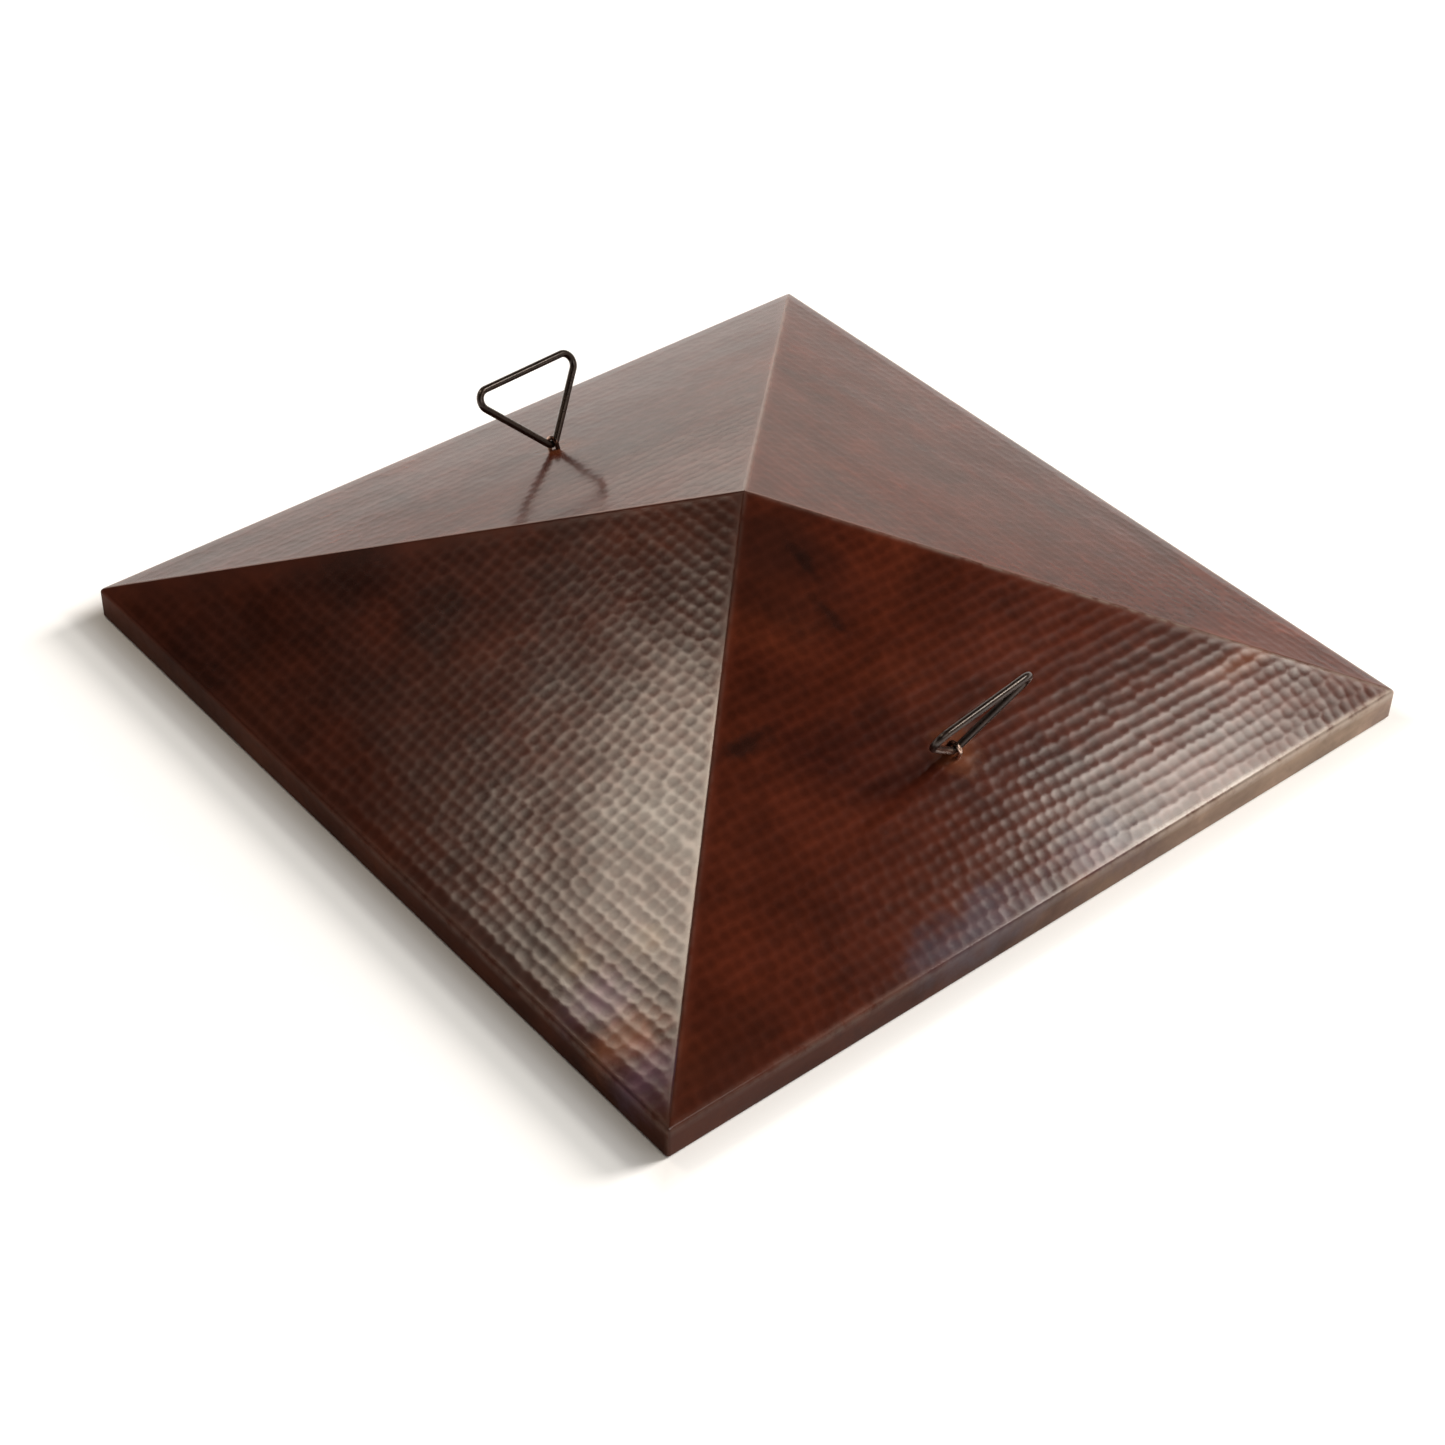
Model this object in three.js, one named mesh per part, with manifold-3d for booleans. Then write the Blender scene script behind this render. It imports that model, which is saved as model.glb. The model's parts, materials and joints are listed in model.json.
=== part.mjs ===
// Square pyramid cover for a fire pit: hammered copper sheet with two folding ring handles.
// Millimetres, +Z up. The origin is the middle of the square that the hem stands on.
// X runs along the front edge, and the two rings stand on the front (-Y) and back (+Y) faces.

import * as THREE from "three";
import { mergeVertices } from "three/addons/utils/BufferGeometryUtils.js";
import Module from "manifold-3d";

const wasm = await Module();
wasm.setup();

// Cover
const SIDE = 762; // across the outside of the skirt
const SKIRT_HEIGHT = 28.6; // hem to rim
const RISE = 151.4; // rim to apex
const SHEET = 1.2;
const BEND_RADIUS = 1.6; // inside the bends at the rim and the hem
const HEM_WIDTH = 14; // turned in under the skirt, measured from its outside
const GAP = 0.3; // between pieces that are soldered or bolted together

// Soldered pieces behind the joints
const STRAP_WIDTH = 38;
const STRAP_REACH = 376; // how far out a hip strap goes, short of the skirt
const PLATE_HALF = 40; // apex plate, half of its side
const GUSSET_LEG = 24;
const GUSSET_BOTTOM = 3.2;
const GUSSET_TOP = 26;

// Ring handles
const RING_ROD = 6.35;
const RING_WIDTH = 130; // between the far corners, where the rod's centre lines would meet
const RING_HEIGHT = 70.4; // vertex to bar, between the same meeting points
const VERTEX_BEND = 6.5; // centre line radius at the staple
const CORNER_BEND = 9.5; // centre line radius at the far corners
const PIVOT_OUT = 253; // from the cover's axis to the pivot, along Y
const PIVOT_HEIGHT = 4; // pivot above the sheet
const RING_TWIST = THREE.MathUtils.degToRad(6); // both staples sit a little off square
const FRONT_RING_ANGLE = THREE.MathUtils.degToRad(88); // at rest, 0 lies down the slope
const BACK_RING_ANGLE = THREE.MathUtils.degToRad(76.5);

// Staples and their hardware
const STAPLE_WIRE = 4;
const LEG_SPACING = 11.2;
const LEG_SPARE = 2.5; // below the nuts
const HOLE_RADIUS = 2.5; // in the sheet
const BACKING = { width: 40, depth: 32, thickness: 2, corner: 4, hole: 2.4 };
const WASHER = { radius: 4.5, thickness: 0.8, hole: 2.3 };
const NUT = { acrossFlats: 7, thickness: 3.2, hole: 2.3 };

const HALF = SIDE / 2;
const APEX = SKIRT_HEIGHT + RISE;
const SLOPE = Math.atan2(RISE, HALF);
const QUARTER = Math.PI / 2;

const COPPER = { color: 0x5a2a1c, roughness: 0.38, metalness: 1 };
const ROD = { color: 0x2c211c, roughness: 0.4, metalness: 1 };
const BRIGHT_COPPER = { color: 0xc98a6a, roughness: 0.3, metalness: 1 };
const INNER_COPPER = { color: 0x8a5138, roughness: 0.45, metalness: 1 };
const BRONZE = { color: 0xa07a3e, roughness: 0.35, metalness: 1 };

// ---- Helpers ----

function toSolid(geometry) {
  const bare = geometry.clone();
  bare.deleteAttribute("normal");
  bare.deleteAttribute("uv");
  const merged = mergeVertices(bare, 1e-4);
  const mesh = new wasm.Mesh({
    numProp: 3,
    vertProperties: new Float32Array(merged.attributes.position.array),
    triVerts: new Uint32Array(merged.index.array),
  });
  return new wasm.Manifold(mesh);
}

function toGeometry(solid) {
  const mesh = solid.getMesh();
  const geometry = new THREE.BufferGeometry();
  geometry.setAttribute("position", new THREE.BufferAttribute(mesh.vertProperties, 3));
  geometry.setIndex(new THREE.BufferAttribute(mesh.triVerts, 1));
  geometry.computeVertexNormals();
  return geometry;
}

function named(name, geometry, finish) {
  const mesh = new THREE.Mesh(geometry, new THREE.MeshStandardMaterial(finish));
  mesh.name = name;
  return mesh;
}

// Round edges get two facets for each of curveSegments.
function extrude(shape, depth, curveSegments = 12) {
  return new THREE.ExtrudeGeometry(shape, { depth, bevelEnabled: false, curveSegments });
}

function circleHole(x, y, radius) {
  return new THREE.Path().absarc(x, y, radius, 0, 2 * Math.PI, false);
}

// A path through given points with the true direction at each, so that a bend keeps its round section.
class SteppedPath extends THREE.Curve {
  constructor(stations) {
    super();
    this.stations = stations;
  }
  station(t) {
    return this.stations[Math.round(t * (this.stations.length - 1))];
  }
  getPoint(t) {
    return this.station(t).point.clone();
  }
  getPointAt(u) {
    return this.getPoint(u);
  }
  getTangent(t) {
    return this.station(t).direction.clone();
  }
  getTangentAt(u) {
    return this.getTangent(u);
  }
}

function stationAt(x, y, directionX, directionY) {
  return {
    point: new THREE.Vector3(x, y, 0),
    direction: new THREE.Vector3(directionX, directionY, 0).normalize(),
  };
}

// Stations along an arc in the XY plane, from one angle to another about a centre.
function arcStations(centreX, centreY, radius, from, to, steps) {
  const turn = Math.sign(to - from);
  const stations = [];
  for (let i = 0; i <= steps; i++) {
    const angle = from + ((to - from) * i) / steps;
    const x = Math.cos(angle);
    const y = Math.sin(angle);
    stations.push(stationAt(centreX + radius * x, centreY + radius * y, -turn * y, turn * x));
  }
  return stations;
}

// A round rod, twelve-sided in section.
function rodAlong(stations, diameter) {
  const section = new THREE.Shape().absarc(0, 0, diameter / 2, 0, 2 * Math.PI, false);
  return new THREE.ExtrudeGeometry(section, {
    steps: stations.length - 1,
    curveSegments: 6,
    extrudePath: new SteppedPath(stations),
  });
}

// ---- Sheet ----

// The two faces of one bend in the sheet's section: points round the outside and round the inside.
function bendPoints(corner, into, out, steps = 4) {
  const outside = BEND_RADIUS + SHEET;
  const turn = into.angleTo(out);
  const inward = new THREE.Vector2(into.y, -into.x);
  const centre = corner.clone();
  centre.addScaledVector(into, -outside * Math.tan(turn / 2));
  centre.addScaledVector(inward, outside);
  const outer = [];
  const inner = [];
  for (let i = 0; i <= steps; i++) {
    const spoke = inward.clone().negate().rotateAround(new THREE.Vector2(), (-turn * i) / steps);
    outer.push(centre.clone().addScaledVector(spoke, outside));
    inner.push(centre.clone().addScaledVector(spoke, BEND_RADIUS));
  }
  return { outer, inner };
}

// Panel, skirt and hem in section: x is out from the cover's axis and y is up.
function sheetSection() {
  const apex = new THREE.Vector2(0, APEX);
  const rim = new THREE.Vector2(HALF, SKIRT_HEIGHT);
  const foot = new THREE.Vector2(HALF, 0);
  const hemEdge = new THREE.Vector2(HALF - HEM_WIDTH, 0);
  const downSlope = rim.clone().sub(apex).normalize();
  const down = new THREE.Vector2(0, -1);
  const inwards = new THREE.Vector2(-1, 0);
  const rimBend = bendPoints(rim, downSlope, down);
  const hemBend = bendPoints(foot, down, inwards);
  const underApex = apex.clone().addScaledVector(new THREE.Vector2(downSlope.y, -downSlope.x), SHEET);
  const onHem = hemEdge.clone().add(new THREE.Vector2(0, SHEET));
  return new THREE.Shape([
    apex,
    ...rimBend.outer,
    ...hemBend.outer,
    hemEdge,
    onHem,
    ...hemBend.inner.reverse(),
    ...rimBend.inner.reverse(),
    underApex,
  ]);
}

// The quarter of the plan that one gore fills, short of both hips by half a gap.
function quarterPrism() {
  const start = GAP / Math.SQRT2;
  const reach = HALF + 10;
  const plan = new THREE.Shape([
    new THREE.Vector2(start, 0),
    new THREE.Vector2(start + reach, -reach),
    new THREE.Vector2(start + reach, reach),
  ]);
  return extrude(plan, APEX + 20).translate(0, 0, -10);
}

// One gore, facing +X. A gore that carries a ring has two holes for the staple's legs.
function goreGeometry(withHoles) {
  const length = SIDE + 20;
  const bent = extrude(sheetSection(), length).translate(0, 0, -length / 2).rotateX(QUARTER);
  let gore = toSolid(bent).intersect(toSolid(quarterPrism()));
  if (withHoles) {
    for (const side of [-1, 1]) {
      const drill = new THREE.CylinderGeometry(HOLE_RADIUS, HOLE_RADIUS, 10, 20).rotateX(QUARTER);
      drill.translate(0, (side * LEG_SPACING) / 2, 0).applyMatrix4(handleSeat());
      gore = gore.subtract(toSolid(drill));
    }
  }
  return toGeometry(gore);
}

// ---- Pieces soldered behind the joints ----

// Everything below a surface parallel to the panels and a given depth under their outer faces.
function pyramidUnder(depth) {
  const height = APEX - depth / Math.cos(SLOPE) + 50;
  const halfBase = (height * HALF) / RISE;
  const pyramid = new THREE.ConeGeometry(halfBase * Math.SQRT2, height, 4);
  pyramid.rotateY(Math.PI / 4).rotateX(QUARTER).translate(0, 0, height / 2 - 50);
  return toSolid(pyramid);
}

// A sheet lying against the underside of the panels.
function liningShell() {
  const top = SHEET + GAP;
  return pyramidUnder(top).subtract(pyramidUnder(top + SHEET));
}

// Strap behind the hip that runs out between +X and +Y. Its outer end is cut to the skirt's corner.
function hipStrapGeometry() {
  const start = PLATE_HALF * Math.SQRT2 + 2;
  const strip = new THREE.BoxGeometry(SIDE, STRAP_WIDTH, 2 * APEX);
  strip.translate(start + SIDE / 2, 0, 0).rotateZ(Math.PI / 4);
  const square = new THREE.BoxGeometry(2 * STRAP_REACH, 2 * STRAP_REACH, 2 * APEX);
  return toGeometry(liningShell().intersect(toSolid(strip)).intersect(toSolid(square)));
}

function apexPlateGeometry() {
  const square = new THREE.BoxGeometry(2 * PLATE_HALF, 2 * PLATE_HALF, 2 * APEX);
  return toGeometry(liningShell().intersect(toSolid(square)));
}

// Angle piece in the corner of the skirt between +X and +Y.
function gussetGeometry() {
  const outside = HALF - SHEET - GAP;
  const inside = outside - SHEET;
  const end = outside - GUSSET_LEG;
  const plan = new THREE.Shape([
    new THREE.Vector2(outside, end),
    new THREE.Vector2(outside, outside),
    new THREE.Vector2(end, outside),
    new THREE.Vector2(end, inside),
    new THREE.Vector2(inside, inside),
    new THREE.Vector2(inside, end),
  ]);
  return extrude(plan, GUSSET_TOP - GUSSET_BOTTOM).translate(0, 0, GUSSET_BOTTOM);
}

// ---- Ring handles, in a frame whose z is the panel's normal and whose y points down the slope ----

// From the cover's frame to a handle's frame on the +X face, its origin on the sheet below the pivot.
function handleSeat() {
  const across = new THREE.Vector3(0, -1, 0);
  const downSlope = new THREE.Vector3(Math.cos(SLOPE), 0, -Math.sin(SLOPE));
  const normal = new THREE.Vector3(Math.sin(SLOPE), 0, Math.cos(SLOPE));
  const height = SKIRT_HEIGHT + (HALF - PIVOT_OUT) * Math.tan(SLOPE);
  const seat = new THREE.Matrix4().makeBasis(across, downSlope, normal);
  seat.setPosition(PIVOT_OUT, 0, height);
  return seat.multiply(new THREE.Matrix4().makeRotationZ(RING_TWIST));
}

// Half of the ring, from the middle of the bar round one far corner to the vertex at the origin.
// Each end runs on by a little, so that the two halves join.
function ringHalf(side) {
  const lap = 0.5;
  const halfAngle = Math.atan2(RING_WIDTH / 2, RING_HEIGHT);
  const cornerAngle = QUARTER - halfAngle;
  const vertexCut = VERTEX_BEND / Math.sin(halfAngle) - VERTEX_BEND;
  const barY = RING_HEIGHT - vertexCut;
  const cornerX = RING_WIDTH / 2 - CORNER_BEND / Math.tan(cornerAngle / 2);
  const bar = stationAt(-lap, barY, 1, 0);
  const corner = arcStations(cornerX, barY - CORNER_BEND, CORNER_BEND, QUARTER, -halfAngle, 10);
  const vertex = arcStations(0, VERTEX_BEND, VERTEX_BEND, -halfAngle, -QUARTER, 4);
  const pastVertex = stationAt(-lap, 0, -1, 0);
  const half = rodAlong([bar, ...corner, ...vertex, pastVertex], RING_ROD);
  return toSolid(side > 0 ? half : half.rotateY(Math.PI));
}

function ringGeometry() {
  return toGeometry(ringHalf(1).add(ringHalf(-1)));
}

function stapleGeometry() {
  const stack = SHEET + BACKING.thickness + WASHER.thickness + NUT.thickness + 3 * GAP;
  const radius = LEG_SPACING / 2;
  const legEnd = -(stack + LEG_SPARE);
  const start = stationAt(radius, legEnd, 0, 1);
  const arch = arcStations(0, PIVOT_HEIGHT, radius, 0, Math.PI, 12);
  const end = stationAt(-radius, legEnd, 0, -1);
  return rodAlong([start, ...arch, end], STAPLE_WIRE).rotateX(QUARTER).rotateZ(QUARTER);
}

function backingPlateGeometry() {
  const x = BACKING.width / 2;
  const y = BACKING.depth / 2;
  const r = BACKING.corner;
  const outline = new THREE.Shape();
  outline.absarc(x - r, y - r, r, 0, QUARTER, false);
  outline.absarc(r - x, y - r, r, QUARTER, 2 * QUARTER, false);
  outline.absarc(r - x, r - y, r, 2 * QUARTER, 3 * QUARTER, false);
  outline.absarc(x - r, r - y, r, 3 * QUARTER, 4 * QUARTER, false);
  outline.closePath();
  for (const side of [-1, 1]) {
    outline.holes.push(circleHole(0, (side * LEG_SPACING) / 2, BACKING.hole));
  }
  return extrude(outline, BACKING.thickness, 3);
}

function washerGeometry() {
  const outline = new THREE.Shape().absarc(0, 0, WASHER.radius, 0, 2 * Math.PI, false);
  outline.holes.push(circleHole(0, 0, WASHER.hole));
  return extrude(outline, WASHER.thickness, 10);
}

// Hexagon nut with its lower corners turned off, centred on its bore with its top at z = thickness.
function nutGeometry() {
  const cornerRadius = NUT.acrossFlats / Math.sqrt(3);
  const flatRadius = NUT.acrossFlats / 2;
  const hexagon = new THREE.CylinderGeometry(cornerRadius, cornerRadius, NUT.thickness, 6);
  hexagon.rotateX(QUARTER).translate(0, 0, NUT.thickness / 2);
  const chamfer = 0.6;
  const profile = [
    new THREE.Vector2(0, -0.1),
    new THREE.Vector2(flatRadius - 0.1, -0.1),
    new THREE.Vector2(cornerRadius + 0.1, chamfer),
    new THREE.Vector2(cornerRadius + 0.1, NUT.thickness + 0.1),
    new THREE.Vector2(0, NUT.thickness + 0.1),
  ];
  const turned = new THREE.LatheGeometry(profile, 24).rotateX(QUARTER);
  const bore = new THREE.CylinderGeometry(NUT.hole, NUT.hole, 4 * NUT.thickness, 16).rotateX(QUARTER);
  return toGeometry(toSolid(hexagon).intersect(toSolid(turned)).subtract(toSolid(bore)));
}

// Ring, staple and hardware of one handle, named after the face that it stands on.
function handleAssembly(face, ringAngle) {
  const handle = new THREE.Group();
  handle.applyMatrix4(handleSeat());

  const ring = named(`${face}_ring`, ringGeometry(), ROD);
  ring.position.z = PIVOT_HEIGHT;
  ring.rotation.x = ringAngle;
  handle.add(ring);
  handle.add(named(`${face}_staple`, stapleGeometry(), BRIGHT_COPPER));

  const backing = named(`${face}_backing_plate`, backingPlateGeometry(), INNER_COPPER);
  backing.position.z = -(SHEET + GAP + BACKING.thickness);
  handle.add(backing);

  const legs = { upper: -LEG_SPACING / 2, lower: LEG_SPACING / 2 };
  for (const [place, y] of Object.entries(legs)) {
    const washer = named(`${face}_washer_${place}`, washerGeometry(), BRONZE);
    washer.position.set(0, y, backing.position.z - GAP - WASHER.thickness);
    const nut = named(`${face}_nut_${place}`, nutGeometry(), BRONZE);
    nut.position.set(0, y, washer.position.z - GAP - NUT.thickness);
    handle.add(washer, nut);
  }
  return handle;
}

// ---- Assembly ----

const FACES = [
  { name: "right", quarter: 0 },
  { name: "back", quarter: 1, ringAngle: BACK_RING_ANGLE },
  { name: "left", quarter: 2 },
  { name: "front", quarter: 3, ringAngle: FRONT_RING_ANGLE },
];
const CORNERS = [
  { name: "back_right", quarter: 0 },
  { name: "back_left", quarter: 1 },
  { name: "front_left", quarter: 2 },
  { name: "front_right", quarter: 3 },
];

const cover = new THREE.Group();

for (const { name, quarter, ringAngle } of FACES) {
  const side = new THREE.Group();
  side.rotation.z = quarter * QUARTER;
  side.add(named(`${name}_gore`, goreGeometry(ringAngle !== undefined), COPPER));
  if (ringAngle !== undefined) {
    side.add(handleAssembly(name, ringAngle));
  }
  cover.add(side);
}

for (const { name, quarter } of CORNERS) {
  const corner = new THREE.Group();
  corner.rotation.z = quarter * QUARTER;
  corner.add(named(`${name}_hip_strap`, hipStrapGeometry(), INNER_COPPER));
  corner.add(named(`${name}_corner_gusset`, gussetGeometry(), INNER_COPPER));
  cover.add(corner);
}

cover.add(named("apex_plate", apexPlateGeometry(), INNER_COPPER));

export default cover;
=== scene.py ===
# Square pyramid fire pit cover: hammered, patinated copper with two ring handles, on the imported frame.
# Metres, +Z up. The hem stands on z = 0, and the rings stand on the front (-Y) and back (+Y) faces.

import json
import math

import bpy
import numpy as np
from mathutils import Matrix, Vector


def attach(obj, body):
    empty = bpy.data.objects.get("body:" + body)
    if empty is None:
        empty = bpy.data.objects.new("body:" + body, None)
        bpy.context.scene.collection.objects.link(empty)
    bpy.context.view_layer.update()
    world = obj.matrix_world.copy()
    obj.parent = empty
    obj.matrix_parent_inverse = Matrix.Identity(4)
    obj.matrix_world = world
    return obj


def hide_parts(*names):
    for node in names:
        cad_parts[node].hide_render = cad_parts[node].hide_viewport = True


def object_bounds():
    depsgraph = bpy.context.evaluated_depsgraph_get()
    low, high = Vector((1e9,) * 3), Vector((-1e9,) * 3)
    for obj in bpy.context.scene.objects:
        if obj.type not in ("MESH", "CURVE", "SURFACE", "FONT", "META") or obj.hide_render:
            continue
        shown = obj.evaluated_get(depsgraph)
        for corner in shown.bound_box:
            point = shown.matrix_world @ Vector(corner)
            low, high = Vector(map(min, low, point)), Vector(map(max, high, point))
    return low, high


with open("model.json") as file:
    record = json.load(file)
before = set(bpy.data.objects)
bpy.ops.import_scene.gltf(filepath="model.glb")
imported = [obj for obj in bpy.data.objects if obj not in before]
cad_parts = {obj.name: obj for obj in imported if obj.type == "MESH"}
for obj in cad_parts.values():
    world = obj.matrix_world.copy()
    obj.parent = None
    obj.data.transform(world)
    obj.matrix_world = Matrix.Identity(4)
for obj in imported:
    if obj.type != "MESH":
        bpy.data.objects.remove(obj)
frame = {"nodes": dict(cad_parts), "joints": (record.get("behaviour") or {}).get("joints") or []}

CAD_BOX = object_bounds()
MM = 0.001

# ---- Sizes, as in the CAD model ----
HALF = CAD_BOX[1].x
SKIRT = 28.6 * MM
RISE = 151.4 * MM
APEX = SKIRT + RISE
SHEET = 1.2 * MM
BEND = 1.6 * MM
FOLD = 4 * MM  # outside radius of the fold between a sloping face and its skirt
ROLL_ANGLE = math.radians(3.0)  # how far each face rolls over before the fold
ROLL_LENGTH = 14 * MM
HEM = 14 * MM
SLOPE = math.atan2(RISE, HALF)
SEAM = 0.02 * MM  # between a gore's side edge and the hip plane
APEX_GAP = 0.35 * MM  # from the apex to each gore's first row
BEND_STEPS = 8  # facets round the fold and round the bend at the hem
PIVOT_HEIGHT = 4 * MM
RING_ROD = 6.35 * MM
RING_WOBBLE = 0.03 * MM  # how uneven the ring's surface is
RING_WIDTH = 130 * MM
RING_HEIGHT = 70.4 * MM
VERTEX_BEND = 6.5 * MM
CORNER_BEND = 9.5 * MM
STAPLE_WIRE = 4 * MM
LEG_SPACING = 11.2 * MM
LEG_END = -10.6 * MM
THREAD_PITCH = 0.7 * MM
THREAD_TOP = -4.8 * MM
THREAD_DEPTH = 0.36 * MM
TIP_LENGTH = 0.5 * MM  # each leg narrows over this length at its end
TIP_DEPTH = 0.35 * MM
ROD_SIDES = 24

# ---- Hammered surface ----
FINE = 1.6 * MM  # between the points of the outer face
COARSE = 6.0 * MM  # between the points of the inner face
DENT_ROWS = 44
DENT_COLUMNS = 100  # with the rows, more than a face needs
DENT_ALONG = 10.8 * MM  # between dents in a row
DENT_UP = 11.3 * MM  # between rows
FIRST_ROW = 0.6  # where the first row lies above the fold, in rows
DENT_LENGTH = 7.8 * MM  # from a dent's middle to its edge, along the row
DENT_WIDTH = 6.5 * MM  # and across it
DENT_DEPTH = 0.12 * MM
RIDGE_SOFTNESS = 0.016 * MM  # how rounded the ridges between dents are
DENT_SHIFT = 0.5 * MM  # how far dents stray from their places
DENT_TILT = 0.003  # and how much they tilt, as a slope
DRIFT_SPREAD = 0.20  # how much the offset from row to row varies, in dents
WARP_ALONG = 2.5 * MM  # how far the rows wander along the face
WARP_UP = 1.2 * MM  # and up it
HIP_SMOOTH = 9 * MM  # dents fade out within this distance of a hip
FOLD_SMOOTH = 3 * MM  # and of the fold
LOW_FULL = 0.15  # a hip's wide smooth strip has its full width up to here
LOW_GONE = 0.30  # and its usual width above here
WAVE_DEPTH = 0.12 * MM  # the broad unevenness of a whole face
WAVE_HIP = 40 * MM  # within this distance of a hip it fades out
WAVE_FOLD = 25 * MM  # and of the fold
HIP_ROUND = 6 * MM
CORNER_ROUND = 3 * MM
HIP_SLANT = 0.73  # distance from a hip, for a distance along a row
EDGE_ANGLES = np.array([1.0, 0.75, 0.5, 0.25, 0.0])  # of a hip's half angle, from the hip inwards
EDGE_WEAR_AND_HIGHLIGHT = 2.2 * MM
FOLD_LINE = SKIRT - FOLD  # about the height where the skirt becomes upright
OFF_PANEL = -1.0  # stands for the distance up the panel, from the fold to the hem

FACES = {"right": 0, "back": 1, "left": 2, "front": 3}  # quarter turns from +X


# ---- Mesh helpers ----

def new_object(name, vertices, faces, material, sharp_degrees=35):
    mesh = bpy.data.meshes.new(name)
    mesh.from_pydata([tuple(v) for v in vertices], [], faces)
    mesh.validate()
    mesh.update()
    mesh.shade_smooth()
    mesh.set_sharp_from_angle(angle=math.radians(sharp_degrees))
    mesh.materials.append(material)
    made = bpy.data.objects.new(name, mesh)
    bpy.context.scene.collection.objects.link(made)
    return made


def add_values(made, name, values):
    """One number for each of an object's points, which its material can read."""
    layer = made.data.attributes.new(name, "FLOAT", "POINT")
    layer.data.foreach_set("value", values)


def zip_rows(a, a_at, b, b_at, faces, flip=False):
    """Triangles between two rows of vertex numbers, each with its places along the row."""
    i = j = 0
    while i < len(a) - 1 or j < len(b) - 1:
        a_left, b_left = i < len(a) - 1, j < len(b) - 1
        step_a = not b_left or (a_left and a_at[i + 1] + a_at[i] <= b_at[j + 1] + b_at[j])
        triangle = (a[i], b[j], a[i + 1]) if step_a else (a[i], b[j], b[j + 1])
        faces.append(triangle[::-1] if flip else triangle)
        i, j = (i + 1, j) if step_a else (i, j + 1)


def smooth_noise(points, rng, cell, octaves=3):
    """Soft random heights from about -1 to 1 on a plane, from sums of a few sine waves per octave."""
    total = np.zeros(len(points))
    weight = 0.0
    for octave in range(octaves):
        size = cell / 2**octave
        strength = 0.55**octave
        for _ in range(4):
            turn = rng.uniform(0, 2 * math.pi)
            wave = 2 * math.pi / (size * rng.uniform(0.8, 1.3))
            shift = rng.uniform(0, 2 * math.pi)
            along = points @ np.array([math.cos(turn), math.sin(turn)])
            total += strength * np.sin(along * wave + shift)
        weight += strength * 2
    return total / weight


# ---- Gores ----

def dent_heights(along, up, rng, deep, drift):
    """How far each point of a panel sinks in the hammered pattern. up is the distance up the slope."""
    size = (DENT_ROWS, DENT_COLUMNS)
    phase = np.cumsum(rng.normal(drift, DRIFT_SPREAD, DENT_ROWS))
    shift = rng.normal(0, DENT_SHIFT, (*size, 2))
    tilt = rng.normal(0, DENT_TILT, (*size, 2))
    depth = deep * DENT_DEPTH * rng.uniform(0.85, 1.15, size)
    spread = rng.uniform(0.93, 1.07, size)
    plane = np.stack([along, up], 1)
    along = along + WARP_ALONG * smooth_noise(plane, rng, 0.22, 2)
    up = up + WARP_UP * smooth_noise(plane, rng, 0.30, 2)
    row = np.rint(up / DENT_UP - FIRST_ROW).astype(int)
    soft = RIDGE_SOFTNESS * deep
    total = np.ones(len(along))
    for row_step in (-1, 0, 1):
        i = np.clip(row + row_step, 0, DENT_ROWS - 1)
        column = np.rint(along / DENT_ALONG - phase[i]).astype(int)
        for column_step in (-1, 0, 1):
            j = column + column_step
            k = np.clip(j + DENT_COLUMNS // 2, 0, DENT_COLUMNS - 1)
            x = along - (j + phase[i]) * DENT_ALONG - shift[i, k, 0]
            y = up - (i + FIRST_ROW) * DENT_UP - shift[i, k, 1]
            reach = (x / DENT_LENGTH) ** 2 + (y / DENT_WIDTH) ** 2
            bowl = depth[i, k] * (reach / spread[i, k] ** 2 - 1)
            height = bowl + tilt[i, k, 0] * x + tilt[i, k, 1] * y
            total += np.exp(np.clip(-height / soft, -60, 60))
    return -np.maximum(soft * np.log(total), 0)


def spoke(angle):
    """A unit step out and up, at an angle from straight up."""
    return np.array([math.sin(angle), math.cos(angle)])


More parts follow.
